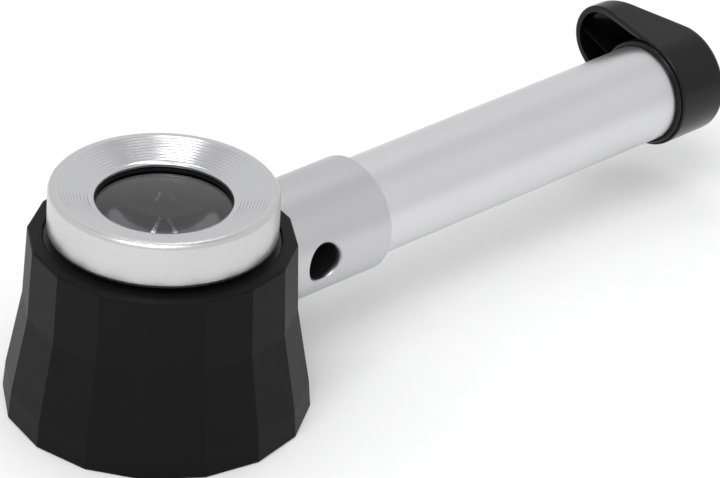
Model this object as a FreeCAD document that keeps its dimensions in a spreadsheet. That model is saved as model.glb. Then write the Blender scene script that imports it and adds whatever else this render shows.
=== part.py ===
import FreeCAD, Part
import math
import os
from types import SimpleNamespace

import Sketcher

# Battery-handled LED inspection magnifier (stand loupe).
#
# Frame: millimetres, +Z up. The head's optical axis is the Z axis and the base ring stands
# on z = 0, so the origin is the centre of the base opening. The handle runs along +X at the
# height axis_height. The head is faceted, with one corner pointing down the handle.

Vec = FreeCAD.Vector

DIMENSIONS = {
    # faceted head shell: corner radius of the 16-sided outline at each level
    "base_corner": 26.45,
    "kick_level": 5.0,
    "kick_corner": 26.0,
    "waist_level": 19.2,
    "waist_corner": 23.4,
    "rim_level": 32.1,
    "rim_corner": 22.8,
    "rim_edge": 0.4,
    # the straight round well inside the head, open at the bottom
    "well_radius": 21.0,
    "ceiling_level": 25.8,
    # ledge and snap-ring groove that hold the focusing barrel in the well
    "ledge_level": 28.5,
    "ledge_radius": 20.1,
    "clip_groove": 21.6,
    "clip_height": 0.8,
    "clip_play": 0.05,
    "clip_split": 6.5,
    # focusing barrel fixed in the head; its plate is the well's ceiling
    "barrel_thread": 15.7,
    "barrel_inner": 13.3,
    "barrel_top": 35.3,
    "barrel_plate": 20.9,
    "barrel_step": 20.0,
    "plate_top": 31.6,
    "oring_level": 34.75,
    "oring_wire": 0.4,
    # focusing ring with its dished, grooved face
    "ring_radius": 19.5,
    "ring_foot": 33.1,
    "foot_edge": 0.4,
    "ring_top": 41.2,
    "ring_edge": 1.0,
    "dish_radius": 17.8,
    "lip_radius": 11.7,
    "lip_level": 39.1,
    "lip_edge": 0.1,
    "eye_plate": 38.45,
    "flange_room": 15.3,
    "clip_room": 16.2,
    "clip_top": 36.6,
    "clip_foot": 35.8,
    "thread_gap": 0.05,
    "groove_pitch": 0.6,
    "groove_depth": 0.2,
    "last_land": 0.15,
    "carrier_gap": 0.3,
    "butt_gap": 0.2,
    "slip_fit": 0.05,
    "screw_inset": 0.15,
    "screw_gap": 0.1,
    "chip_gap": 0.4,
    # lens cell and its stack
    "cell_radius": 13.25,
    "cell_bore": 12.25,
    "cell_foot": 25.85,
    "cell_flange": 14.9,
    "cell_flange_level": 36.65,
    "cell_top": 38.2,
    "cell_lip": 11.6,
    "lens_seat": 37.9,
    "lens_radius": 12.2,
    "lens_edge": 2.6,
    "eye_dome": 0.8,
    "inner_dome": 2.2,
    "field_inner_dome": 1.6,
    "field_dome": 1.0,
    "spacer_height": 4.3,
    "spacer_bore": 11.2,
    "retainer_height": 1.6,
    "retainer_bore": 10.9,
    "slot_width": 1.6,
    "slot_top": 30.6,
    "slot_floor": 12.65,
    # handle: everything below is turned about the handle axis
    "axis_height": 21.1,
    "stub_radius": 9.35,
    "stub_end": 34.0,
    "sleeve_radius": 10.5,
    "sleeve_end": 44.2,
    "sleeve_edge": 0.6,
    "cross_hole": 3.5,
    "cross_hole_at": 28.4,
    "cross_edge": 0.35,
    "tube_radius": 9.0,
    "tube_bore": 7.8,
    "tube_start": 34.4,
    "tube_end": 123.4,
    "tube_thread": 8.5,
    "thread_start": 119.1,
    "groove_at": 118.0,
    "groove_wide": 0.85,
    "groove_floor": 8.25,
    "seal_squeeze": 0.04,
    "liner_radius": 7.6,
    "liner_bore": 5.45,
    "liner_start": 37.0,
    "liner_end": 122.6,
    # standard AAA cells
    "battery_radius": 5.25,
    "battery_length": 44.5,
    "nub_radius": 1.9,
    "nub_height": 0.8,
    "battery_start": 36.4,
    # light unit at the front of the handle
    "pocket_radius": 6.3,
    "pocket_mouth": 19.5,
    "pocket_floor": 24.0,
    "window_start": 21.1,
    "window_thick": 0.8,
    "disc_radius": 6.2,
    "board_thick": 1.0,
    "led_size": 3.5,
    "led_height": 1.0,
    "wire_radius": 0.6,
    "wire_hole": 0.7,
    "wire_lift": 5.0,
    "wire_side": 1.6,
    "driver_thick": 1.5,
    "driver_radius": 7.7,
    "chip_size": 2.4,
    "chip_height": 0.9,
    "contact_radius": 2.5,
    # tail cap with its side lobe
    "cap_start": 118.3,
    "cap_end": 129.6,
    "cap_radius": 10.4,
    "lobe_radius": 6.95,
    "lobe_side": 11.4,
    "lobe_lift": 5.7,
    "cap_wall": 1.25,
    "cap_back": 1.6,
    "cap_corner": 1.2,
    "cap_lip": 0.35,
    "slant_start": 4.0,
    "slant_angle": 25.3,
    "boss_start": 117.6,
    "boss_radius": 9.9,
    "boss_edge": 0.5,
    "boss_bore": 9.1,
    "rib_thick": 0.6,
    "rib_drop": 0.8,
    "rib_heading": 18.5,
    "insert_start": 119.4,
    "insert_end": 124.6,
    "insert_step": 123.7,
    "insert_radius": 9.3,
    "insert_thread": 8.55,
    "spring_room": 8.0,
    "cup_radius": 7.7,
    "cup_bore": 6.9,
    "cup_start": 123.9,
    "cup_end": 127.8,
    "cup_floor": 0.6,
    "spring_wire": 0.3,
    "spring_large": 4.4,
    "spring_height": 1.15,
    "spring_pitch": 0.38,
    "spring_slope": 62.0,
    # fasteners
    "grub_radius": 1.5,
    "grub_socket": 0.87,
    "grub_socket_depth": 1.2,
    "pin_radius": 0.6,
    "pin_inner": 12.75,
    "pin_outer": 17.0,
    "pin_level": 27.4,
}

FACETS = 16
GROOVES = 10

doc = FreeCAD.newDocument("loupe")
parts = []


class Size:
    """A length: its present value, and the expression that keeps it tied to the sheet."""

    def __init__(self, value, text):
        self.value = value
        self.text = text

    def __add__(self, other):
        other = sized(other)
        return Size(self.value + other.value, "(%s + %s)" % (self.text, other.text))

    def __sub__(self, other):
        other = sized(other)
        return Size(self.value - other.value, "(%s - %s)" % (self.text, other.text))

    def __mul__(self, factor):
        return Size(self.value * factor, "(%s * %r)" % (self.text, factor))

    def __neg__(self):
        return self * -1.0


def sized(length):
    return length if isinstance(length, Size) else Size(float(length), "%r" % float(length))


def make_sheet():
    """Put the driving dimensions in a sheet, and return them as named Size values."""
    sheet = doc.addObject("Spreadsheet::Sheet", "Sizes")
    sizes = {}
    for row, (name, value) in enumerate(DIMENSIONS.items(), start=1):
        sheet.set("A%d" % row, name)
        sheet.set("B%d" % row, str(value))
        sheet.setAlias("B%d" % row, name)
        sizes[name] = Size(value, "Sizes." + name)
    doc.recompute()
    return SimpleNamespace(**sizes)


d = make_sheet()


# ---------------------------------------------------------------- helpers

def bind(obj, path, length):
    """Tie one property of an object to the sheet."""
    obj.setExpression(path, sized(length).text)


def keep(obj, name):
    """Register a finished sub-part under its node name."""
    obj.Label = name
    parts.append(obj)


def new_body(name, on_handle=False):
    body = doc.addObject("PartDesign::Body", name)
    if on_handle:
        bind(body, "Placement.Base.z", d.axis_height)
    return body


def new_sketch(body, name, role, offset=0.0):
    """An empty sketch on one of the body's own origin planes."""
    sketch = body.newObject("Sketcher::SketchObject", name)
    plane = [item for item in body.Origin.OriginFeatures if item.Role == role][0]
    sketch.AttachmentSupport = [(plane, "")]
    sketch.MapMode = "FlatFace"
    bind(sketch, "AttachmentOffset.Base.z", offset)
    return sketch


def pin_point(sketch, edge, end, point):
    """Hold one end of an edge at a point given by two Size values."""
    for kind, length in (("DistanceX", point[0]), ("DistanceY", point[1])):
        length = sized(length)
        rule = Sketcher.Constraint(kind, -1, 1, edge, end, length.value)
        index = sketch.addConstraint(rule)
        bind(sketch, "Constraints[%d]" % index, length)


def domed_edge(start, end):
    """An arc between two points whose centre lies on the sketch's vertical axis."""
    (x1, y1), (x2, y2) = start, end
    centre = (x2 ** 2 + y2 ** 2 - x1 ** 2 - y1 ** 2) / (2.0 * (y2 - y1))
    radius = math.hypot(x1, y1 - centre)
    angles = [math.atan2(y - centre, x) for x, y in (start, end)]
    flipped = angles[0] > angles[1]
    circle = Part.Circle(Vec(0, centre, 0), Vec(0, 0, 1), radius)
    return Part.ArcOfCircle(circle, min(angles), max(angles)), flipped


def draw_outline(sketch, points):
    """Close an outline through points (x, y); a third item marks a domed edge after it."""
    flat = [(sized(p[0]).value, sized(p[1]).value) for p in points]
    ends = []
    for index, point in enumerate(points):
        start, end = flat[index], flat[(index + 1) % len(points)]
        if len(point) == 3:
            arc, flipped = domed_edge(start, end)
            edge = sketch.addGeometry(arc, False)
            sketch.addConstraint(Sketcher.Constraint("PointOnObject", edge, 3, -2))
            ends.append((edge, 2, 1) if flipped else (edge, 1, 2))
        else:
            line = Part.LineSegment(Vec(*start, 0), Vec(*end, 0))
            ends.append((sketch.addGeometry(line, False), 1, 2))
    for index, (edge, first, last) in enumerate(ends):
        following, its_first, _ = ends[(index + 1) % len(ends)]
        sketch.addConstraint(Sketcher.Constraint("Coincident", edge, last, following, its_first))
    for point, (edge, first, last) in zip(points, ends):
        pin_point(sketch, edge, first, point)


def draw_circle(sketch, radius, centre=(0.0, 0.0)):
    x, y = sized(centre[0]), sized(centre[1])
    circle = Part.Circle(Vec(x.value, y.value, 0), Vec(0, 0, 1), sized(radius).value)
    edge = sketch.addGeometry(circle, False)
    index = sketch.addConstraint(Sketcher.Constraint("Radius", edge, sized(radius).value))
    bind(sketch, "Constraints[%d]" % index, radius)
    pin_point(sketch, edge, 3, (x, y))


def draw_rectangle(sketch, x_low, x_high, y_low, y_high):
    draw_outline(sketch, [(x_low, y_low), (x_high, y_low), (x_high, y_high), (x_low, y_high)])


def revolve(body, points, about, cut=False):
    """Turn an outline in the body's XZ plane about its Z or X axis, as solid or as cut."""
    name = body.Name + ("_bore" if cut else "_turning")
    sketch = new_sketch(body, name + "_outline", "XZ_Plane")
    draw_outline(sketch, points)
    kind = "PartDesign::Groove" if cut else "PartDesign::Revolution"
    feature = body.newObject(kind, name)
    feature.Profile = sketch
    feature.ReferenceAxis = (sketch, ["V_Axis" if about == "z" else "H_Axis"])
    feature.Angle = 360
    sketch.Visibility = False
    return feature


def pad(body, sketch, length, backwards=False):
    feature = body.newObject("PartDesign::Pad", sketch.Name + "_pad")
    feature.Profile = sketch
    bind(feature, "Length", length)
    feature.Reversed = backwards
    return feature


def pocket(body, sketch, length, backwards=False):
    feature = body.newObject("PartDesign::Pocket", sketch.Name + "_pocket")
    feature.Profile = sketch
    bind(feature, "Length", length)
    feature.Reversed = backwards
    return feature


def soften(body, feature, radius, wanted, kind="PartDesign::Fillet"):
    """Round or chamfer the edges of a feature that the test `wanted` picks out."""
    doc.recompute()
    names = ["Edge%d" % (n + 1) for n, edge in enumerate(feature.Shape.Edges) if wanted(edge)]
    treated = body.newObject(kind, feature.Name + "_soft")
    treated.Base = (feature, names)
    bind(treated, "Radius" if kind.endswith("Fillet") else "Size", radius)


def circle_at(radius, level, axis):
    """A test for the circular edge of one radius at one place along an axis."""
    def wanted(edge):
        if not isinstance(edge.Curve, Part.Circle):
            return False
        place = getattr(edge.Curve.Center, axis)
        return abs(edge.Curve.Radius - radius.value) < 0.01 and abs(place - level.value) < 0.01
    return wanted


def turned_part(name, points, about="z"):
    """A whole sub-part that is one turned shape."""
    body = new_body(name, on_handle=(about == "x"))
    revolve(body, points, about)
    keep(body, name)


def ring_outline(inner, outer, low, high, about="z"):
    """The four corners of a plain ring or tube."""
    corners = [(inner, low), (outer, low), (outer, high), (inner, high)]
    return corners if about == "z" else [(along, radial) for radial, along in corners]


def rod(name, radius, length, base, direction):
    """A cylinder tool from a base point along X, Y or Z."""
    tool = doc.addObject("Part::Cylinder", name)
    bind(tool, "Radius", radius)
    bind(tool, "Height", length)
    for axis, value in zip("xyz", base):
        bind(tool, "Placement.Base." + axis, value)
    turn = FreeCAD.Rotation(Vec(0, 0, 1), Vec(*direction))
    bind(tool, "Placement.Rotation.Angle", Size(0, "%r deg" % math.degrees(turn.Angle)))
    bind(tool, "Placement.Rotation.Axis.x", turn.Axis.x)
    bind(tool, "Placement.Rotation.Axis.y", turn.Axis.y)
    bind(tool, "Placement.Rotation.Axis.z", turn.Axis.z)
    return tool


def cut_away(name, base, tools):
    """A Part cut of one object by several, taken one after another."""
    for number, tool in enumerate(tools):
        cut = doc.addObject("Part::Cut", "%s_cut_%d" % (name, number))
        cut.Base = base
        cut.Tool = tool
        base = cut
    return base


# ---------------------------------------------------------------- shared tools

def facet_solid():
    """The head's faceted outside: flat trapezoids between the 16-sided levels."""
    levels = [(0.0, d.base_corner), (d.kick_level, d.kick_corner),
              (d.waist_level, d.waist_corner), (d.rim_level - d.rim_edge, d.rim_corner),
              (d.rim_level, d.rim_corner - d.rim_edge)]
    rings = []
    for level, corner in levels:
        height, radius = sized(level).value, corner.value
        turns = [2.0 * math.pi * n / FACETS for n in range(FACETS)]
        rings.append([Vec(radius * math.cos(t), radius * math.sin(t), height) for t in turns])
    outlines = [rings[0], rings[-1]]
    for lower, upper in zip(rings, rings[1:]):
        for n in range(FACETS):
            after = (n + 1) % FACETS
            outlines.append([lower[n], lower[after], upper[after], upper[n]])
    faces = [Part.Face(Part.makePolygon(corners + corners[:1])) for corners in outlines]
    solid = doc.addObject("Part::Feature", "facets")
    solid.Shape = Part.Solid(Part.Shell(faces))
    if solid.Shape.Volume < 0:
        solid.Shape = solid.Shape.reversed()
    return solid


facets = facet_solid()
cross_drill = rod("cross_drill", d.cross_hole, d.sleeve_radius * 4,
                  (d.cross_hole_at, d.sleeve_radius * 2, d.axis_height), (0, -1, 0))
sleeve_drill = rod("sleeve_drill", d.grub_radius, d.sleeve_radius,
                   (d.cross_hole_at, 0, d.axis_height - d.sleeve_radius - 5.0), (0, 0, 1))
tube_drill = rod("tube_drill", d.grub_radius, d.sleeve_radius,
                 ((d.stub_end + d.sleeve_end) * 0.5, 0, d.axis_height - d.sleeve_radius - 5.0),
                 (0, 0, 1))


# ---------------------------------------------------------------- head

def make_skirt():
    """Black head shell: faceted outside, round well, seats on top and a stub for the handle."""
    stub = rod("stub", d.stub_radius, d.stub_end - d.well_radius,
               (d.well_radius, 0, d.axis_height), (1, 0, 0))
    shell = doc.addObject("Part::MultiFuse", "skirt_blank")
    shell.Shapes = [facets, stub]

    well = new_body("well")
    clip_foot = d.ceiling_level - d.clip_height
    revolve(well, [
        (0, -1.0), (d.well_radius, -1.0), (d.well_radius, clip_foot), (d.clip_groove, clip_foot),
        (d.clip_groove, d.ceiling_level), (d.well_radius, d.ceiling_level),
        (d.well_radius, d.ledge_level), (d.ledge_radius, d.ledge_level),
        (d.ledge_radius, d.rim_level - d.rim_edge),
        (d.ledge_radius + d.rim_edge * 2, d.rim_level + d.rim_edge), (0, d.rim_level + d.rim_edge),
    ], "z")

    light_pocket = rod("light_pocket", d.pocket_radius, d.pocket_floor - d.pocket_mouth,
                       (d.pocket_mouth, 0, d.axis_height), (1, 0, 0))
    channels = [
        rod("wire_channel_%d" % number, d.wire_hole, d.stub_end - d.window_start,
            (d.window_start, side, d.axis_height + d.wire_lift), (1, 0, 0))
        for number, side in enumerate((d.wire_side, -d.wire_side))
    ]
    tools = [well, light_pocket, cross_drill, sleeve_drill] + channels
    keep(cut_away("skirt", shell, tools), "skirt")


def make_focus_barrel():
    """Fixed threaded barrel that carries the focusing ring and guides the lens cell."""
    body = new_body("barrel_blank")
    low = d.oring_level - d.oring_wire
    high = d.oring_level + d.oring_wire
    floor = d.barrel_thread - d.oring_wire * 2
    revolve(body, [
        (d.barrel_inner, d.ceiling_level), (d.barrel_plate, d.ceiling_level),
        (d.barrel_plate, d.ledge_level), (d.barrel_step, d.ledge_level),
        (d.barrel_step, d.plate_top), (d.barrel_thread, d.plate_top),
        (d.barrel_thread, low), (floor, low), (floor, high), (d.barrel_thread, high),
        (d.barrel_thread, d.barrel_top), (d.barrel_inner, d.barrel_top),
    ], "z")
    pin_hole = rod("pin_hole", d.pin_radius, d.barrel_plate - d.pin_inner + 1.0,
                   (-d.barrel_plate - 1.0, 0, d.pin_level), (1, 0, 0))
    keep(cut_away("focus_barrel", body, [pin_hole]), "focus_barrel")


def make_barrel_clip():
    """Snap ring under the barrel's plate; its gap leaves the light window clear."""
    body = new_body("barrel_clip")
    foot = d.ceiling_level - d.clip_height + d.clip_play
    revolve(body, ring_outline(d.ledge_radius, d.clip_groove - d.clip_play * 2,
                               foot, d.ceiling_level - d.clip_play), "z")
    split = new_sketch(body, "barrel_clip_split", "XY_Plane", foot - 1.0)
    draw_rectangle(split, d.ledge_radius * 0.5, d.clip_groove + 1.0, -d.clip_split, d.clip_split)
    pocket(body, split, d.clip_height + 2.0, backwards=True)
    keep(body, "barrel_clip")


def make_focus_oring():
    ring = doc.addObject("Part::Torus", "focus_oring")
    bind(ring, "Radius1", d.barrel_thread - d.oring_wire)
    bind(ring, "Radius2", d.oring_wire)
    bind(ring, "Placement.Base.z", d.oring_level)
    keep(ring, "focus_oring")


def make_guide_pin():
    pin = rod("guide_pin", d.pin_radius, d.pin_outer - d.pin_inner,
              (-d.pin_outer, 0, d.pin_level), (1, 0, 0))
    keep(pin, "guide_pin")


def make_focus_ring():
    """Aluminium focusing ring: dished face cut with concentric grooves round the eye opening."""
    body = new_body("focus_ring")
    slope = (DIMENSIONS["ring_top"] - DIMENSIONS["lip_level"]) / (
        DIMENSIONS["dish_radius"] - DIMENSIONS["lip_radius"])
    face = []
    for number in range(GROOVES):
        inward = d.groove_pitch * float(number)
        edge = (d.dish_radius - inward, d.ring_top - inward * slope)
        face.append(edge)
        middle = inward + d.groove_pitch * 0.5
        face.append((d.dish_radius - middle, d.ring_top - middle * slope - d.groove_depth))
    last = d.groove_pitch * float(GROOVES) - d.last_land
    face.append((d.dish_radius - last, d.ring_top - last * slope))
    thread = d.barrel_thread + d.thread_gap
    feature = revolve(body, [
        (d.ring_radius, d.ring_top), *face,
        (d.lip_radius, d.lip_level - d.lip_edge), (d.lip_radius, d.eye_plate),
        (d.flange_room, d.eye_plate), (d.flange_room, d.clip_top),
        (d.clip_room, d.clip_top), (d.clip_room, d.clip_foot),
        (thread, d.clip_foot), (thread, d.ring_foot),
        (d.ring_radius - d.foot_edge, d.ring_foot), (d.ring_radius, d.ring_foot + d.foot_edge),
    ], "z")
    soften(body, feature, d.ring_edge, circle_at(d.ring_radius, d.ring_top, "z"))
    keep(body, "focus_ring")


def make_carrier_clip():
    """Split internal ring that keeps the lens cell's flange in the focusing ring."""
    body = new_body("carrier_clip")
    gap = 0.05
    revolve(body, ring_outline(d.cell_radius + d.carrier_gap, d.clip_room - gap,
                               d.clip_foot + gap, d.clip_top - gap), "z")
    split = new_sketch(body, "clip_split", "XY_Plane", d.clip_foot - 1.0)
    draw_rectangle(split, d.cell_radius, d.clip_room + 1.0, -d.slot_width, d.slot_width)
    pocket(body, split, (d.clip_top - d.clip_foot) + 2.0, backwards=True)
    keep(body, "carrier_clip")


def make_lens_cell():
    """Sliding cell: bore with a top lip for the lenses, flange, and a slot for the guide pin."""
    body = new_body("lens_cell")
    revolve(body, [
        (d.cell_bore, d.cell_foot), (d.cell_radius, d.cell_foot),
        (d.cell_radius, d.cell_flange_level), (d.cell_flange, d.cell_flange_level),
        (d.cell_flange, d.cell_top), (d.cell_lip, d.cell_top), (d.cell_lip, d.lens_seat),
        (d.cell_bore, d.lens_seat),
    ], "z")
    slot = new_sketch(body, "pin_slot", "XY_Plane", d.cell_foot - 1.0)
    half = d.slot_width * 0.5
    draw_rectangle(slot, -d.cell_radius - 1.0, -d.slot_floor, -half, half)
    pocket(body, slot, d.slot_top - d.cell_foot + 1.0, backwards=True)
    keep(body, "lens_cell")


def make_lenses():
    """Two-lens magnifier stack: eye lens, spacer, field lens and threaded retainer."""
    eye_low = d.lens_seat - d.lens_edge
    seat_gap = 0.1
    turned_part("upper_lens", [
        (0, eye_low - d.inner_dome, "dome"), (d.spacer_bore - seat_gap, eye_low),
        (d.lens_radius, eye_low), (d.lens_radius, d.lens_seat),
        (d.cell_lip - seat_gap, d.lens_seat, "dome"), (0, d.lens_seat + d.eye_dome),
    ])
    field_high = eye_low - d.spacer_height
    field_low = field_high - d.lens_edge
    turned_part("lens_spacer", ring_outline(d.spacer_bore, d.lens_radius, field_high, eye_low))
    turned_part("lower_lens", [
        (0, field_low - d.field_dome, "dome"), (d.retainer_bore - seat_gap, field_low),
        (d.lens_radius, field_low), (d.lens_radius, field_high),
        (d.spacer_bore - seat_gap, field_high, "dome"), (0, field_high + d.field_inner_dome),
    ])
    retainer = new_body("lens_retainer")
    foot = field_low - d.retainer_height
    revolve(retainer, ring_outline(d.retainer_bore, d.lens_radius, foot, field_low), "z")
    notch = new_sketch(retainer, "spanner_notch", "XY_Plane", foot)
    draw_rectangle(notch, -d.lens_radius - 1.0, d.lens_radius + 1.0, -0.5, 0.5)
    pocket(retainer, notch, d.retainer_height * 0.5, backwards=True)
    keep(retainer, "lens_retainer")


# ---------------------------------------------------------------- neck and light

def make_neck_sleeve():
    """Aluminium sleeve over the head's stub and the tube, scribed to the facets."""
    body = new_body("sleeve_blank", on_handle=True)
    step = d.stub_end + d.butt_gap
    feature = revolve(body, [
        (d.pocket_mouth, d.stub_radius + d.slip_fit), (d.pocket_mouth, d.sleeve_radius),
        (d.sleeve_end, d.sleeve_radius), (d.sleeve_end, d.tube_radius),
        (step, d.tube_radius), (step, d.stub_radius + d.slip_fit),
    ], "x")
    soften(body, feature, d.sleeve_edge, circle_at(d.sleeve_radius, d.sleeve_end, "x"))
    hole = new_sketch(body, "cross_hole", "XZ_Plane")
    draw_circle(hole, d.cross_hole, (d.cross_hole_at, 0))
    drilled = pocket(body, hole, d.sleeve_radius * 4)
    drilled.Midplane = True

    def outer_mouth(edge):
        box = edge.BoundBox
        spread = max(box.XLength, box.ZLength)
        return (abs(spread - 2 * d.cross_hole.value) < 0.05
                and abs(box.Center.x - d.cross_hole_at.value) < 0.1
                and abs(box.Center.y) > d.stub_radius.value)

    soften(body, drilled, d.cross_edge, outer_mouth, "PartDesign::Chamfer")
    keep(cut_away("neck_sleeve", body, [facets, sleeve_drill, tube_drill]), "neck_sleeve")


def make_grub_screw(name, along, tip):
    """Socket grub screw pointing up from under the neck, from flush with the sleeve to tip."""
    body = new_body(name, on_handle=True)
    flush = d.sleeve_radius - d.screw_inset
    sketch = new_sketch(body, name + "_shank", "XY_Plane", -flush)
    draw_circle(sketch, d.grub_radius, (along, 0))
    pad(body, sketch, flush - tip)
    socket = new_sketch(body, name + "_socket", "XY_Plane", -flush)
    draw_circle(socket, d.grub_socket, (along, 0))
    pocket(body, socket, d.grub_socket_depth, backwards=True)
    keep(body, name)


def make_light_unit():
    """Clear window, LED and its round board in the pocket of the head's wall."""
    board_start = d.pocket_floor - d.board_thick
    turned_part("led_window", [
        (d.window_start, 0), (d.window_start + d.window_thick, 0),
        (d.window_start + d.window_thick, d.disc_radius), (d.window_start, d.disc_radius),
    ], "x")
    turned_part("led_board", [
        (board_start, 0), (d.pocket_floor, 0), (d.pocket_floor, d.disc_radius),
        (board_start, d.disc_radius),
    ], "x")
    led = new_body("led", on_handle=True)
    sketch = new_sketch(led, "led_outline", "YZ_Plane", board_start - d.led_height)
    half = d.led_size * 0.5
    draw_rectangle(sketch, -half, half, -half, half)
    pad(led, sketch, d.led_height)
    keep(led, "led")


def make_wires():
    """Two straight insulated wires over the cross hole, from the LED board to the driver."""
    for name, side in (("wire_positive", d.wire_side), ("wire_negative", -d.wire_side)):
        wire = rod(name, d.wire_radius, d.tube_start - d.pocket_floor,
                   (d.pocket_floor, side, d.axis_height + d.wire_lift), (1, 0, 0))
        keep(wire, name)


# ---------------------------------------------------------------- handle

def make_driver():
    """Driver board across the tube's front, with its chip and the brass front contact."""
    back = d.tube_start + d.driver_thick
    turned_part("driver_board", [
        (d.tube_start, 0), (back, 0), (back, d.driver_radius), (d.tube_start, d.driver_radius),
    ], "x")
    turned_part("front_contact", [
        (back, 0), (d.battery_start, 0), (d.battery_start, d.contact_radius),
        (back, d.contact_radius),
    ], "x")
    chip = new_body("driver_chip", on_handle=True)
    sketch = new_sketch(chip, "chip_outline", "YZ_Plane", back)
    half = d.chip_size * 0.5
    draw_rectangle(sketch, -half, half, -d.contact_radius - d.chip_size - d.chip_gap,
                   -d.contact_radius - d.chip_gap)
    pad(chip, sketch, d.chip_height)
    keep(chip, "driver_chip")


def make_handle_tube():
    """Anodised battery tube with a seal groove near its threaded tail end."""
    body = new_body("tube_blank", on_handle=True)
    revolve(body, [
        (d.tube_start, d.tube_bore), (d.tube_start, d.tube_radius),
        (d.groove_at, d.tube_radius), (d.groove_at, d.groove_floor),
        (d.groove_at + d.groove_wide, d.groove_floor), (d.groove_at + d.groove_wide, d.tube_radius),
        (d.thread_start, d.tube_radius), (d.thread_start, d.tube_thread),
        (d.tube_end, d.tube_thread), (d.tube_end, d.tube_bore),
    ], "x")
    keep(cut_away("handle_tube", body, [tube_drill]), "handle_tube")


def make_tail_oring():
    seal = doc.addObject("Part::Torus", "tail_oring")
    bind(seal, "Radius1", d.groove_floor + d.groove_wide * 0.5)
    bind(seal, "Radius2", d.groove_wide * 0.5 - d.seal_squeeze)
    bind(seal, "Placement.Base.x", d.groove_at + d.groove_wide * 0.5)
    bind(seal, "Placement.Base.z", d.axis_height)
    seal.Placement = FreeCAD.Placement(seal.Placement.Base, FreeCAD.Rotation(Vec(0, 1, 0), 90))
    keep(seal, "tail_oring")


def make_batteries():
    """Black liner and two AAA cells in line, raised contacts towards the head."""
    turned_part("battery_liner", ring_outline(d.liner_bore, d.liner_radius, d.liner_start,
                                              d.liner_end, "x"), "x")
    for name, start in (("cell_front", d.battery_start),
                        ("cell_rear", d.battery_start + d.battery_length)):
        shoulder = start + d.nub_height
        end = start + d.battery_length
        turned_part(name, [
            (start, 0), (end, 0), (end, d.battery_radius), (shoulder, d.battery_radius),
            (shoulder, d.nub_radius), (start, d.nub_radius),
        ], "x")


# ---------------------------------------------------------------- tail

def draw_hull(sketch, inset=0.0):
    """The cap's outline: a large and a small circle joined by their two outer tangents."""
    large, small = d.cap_radius - inset, d.lobe_radius - inset
    side, lift = d.lobe_side, d.lobe_lift
    reach = math.hypot(side.value, lift.value)
    heading = math.atan2(lift.value, side.value)
    lean = math.acos((large.value - small.value) / reach)
    centres = (Vec(0, 0, 0), Vec(side.value, lift.value, 0))
    arcs = []
    for centre, radius, first, last in ((centres[0], large, heading + lean, heading - lean),
                                        (centres[1], small, heading - lean, heading + lean)):
        circle = Part.Circle(centre, Vec(0, 0, 1), radius.value)
        last = last if last > first else last + 2 * math.pi
        arcs.append(sketch.addGeometry(Part.ArcOfCircle(circle, first, last), False))
    lines = []
    for turn in (heading - lean, heading + lean):
        outward = Vec(math.cos(turn), math.sin(turn), 0)
        ends = [centres[0] + outward * large.value, centres[1] + outward * small.value]
        lines.append(sketch.addGeometry(Part.LineSegment(*ends), False))
    for line, (large_end, small_end) in zip(lines, ((2, 1), (1, 2))):
        sketch.addConstraint(Sketcher.Constraint("Tangent", line, 1, arcs[0], large_end))
        sketch.addConstraint(Sketcher.Constraint("Tangent", line, 2, arcs[1], small_end))
    for arc, radius in zip(arcs, (large, small)):
        index = sketch.addConstraint(Sketcher.Constraint("Radius", arc, radius.value))
        bind(sketch, "Constraints[%d]" % index, radius)
    pin_point(sketch, arcs[0], 3, (0, 0))
    pin_point(sketch, arcs[1], 3, (side, lift))


def lobe_heading():
    return math.atan2(d.lobe_lift.value, d.lobe_side.value)


def slant(name, drop):
    """A block behind the lobe's slanted back; drop brings it forward, as for the hollow's floor."""
    turn = lobe_heading()
    lean = math.radians(d.slant_angle.value)
    outward = Vec(0, math.cos(turn), math.sin(turn))
    across = Vec(0, -math.sin(turn), math.cos(turn))
    along = outward * math.cos(lean) - Vec(1, 0, 0) * math.sin(lean)
    wide = d.cap_radius * 4
    block = doc.addObject("Part::Box", name)
    for size in ("Length", "Width", "Height"):
        bind(block, size, wide)
    rotation = FreeCAD.Rotation(along, across, along.cross(across), "XYZ")
    block.Placement = FreeCAD.Placement(Vec(0, 0, 0), rotation)
    bind(block, "Placement.Base.x", d.cap_end - drop)
    bind(block, "Placement.Base.y", d.slant_start * outward.y - wide * (across.y * 0.5))
    bind(block, "Placement.Base.z",
         d.slant_start * outward.z - wide * (across.z * 0.5) + d.axis_height)
    return block


def make_rib():
    """Thin rib across the hollow, from the boss to the lobe's far wall."""
    body = new_body("cap_rib", on_handle=True)
    sketch = new_sketch(body, "rib_outline", "YZ_Plane", d.cap_start + d.rib_drop)
    turn = math.radians(d.rib_heading.value)
    along = Vec(math.cos(turn), math.sin(turn), 0)
    across = Vec(-along.y, along.x, 0)
    far = d.lobe_side * (1.0 / along.x) + d.lobe_radius - d.cap_wall * 0.5
    corners = []
    for reach, side in ((d.boss_bore, -0.5), (far, -0.5), (far, 0.5), (d.boss_bore, 0.5)):
        corners.append((reach * along.x + d.rib_thick * (side * across.x),
                        reach * along.y + d.rib_thick * (side * across.y)))
    draw_outline(sketch, corners)
    pad(body, sketch, d.cap_end - d.cap_start - d.rib_drop - d.cap_back)
    return cut_away("rib", body, [slant("rib_slant", d.cap_back * 0.5)])


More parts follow.
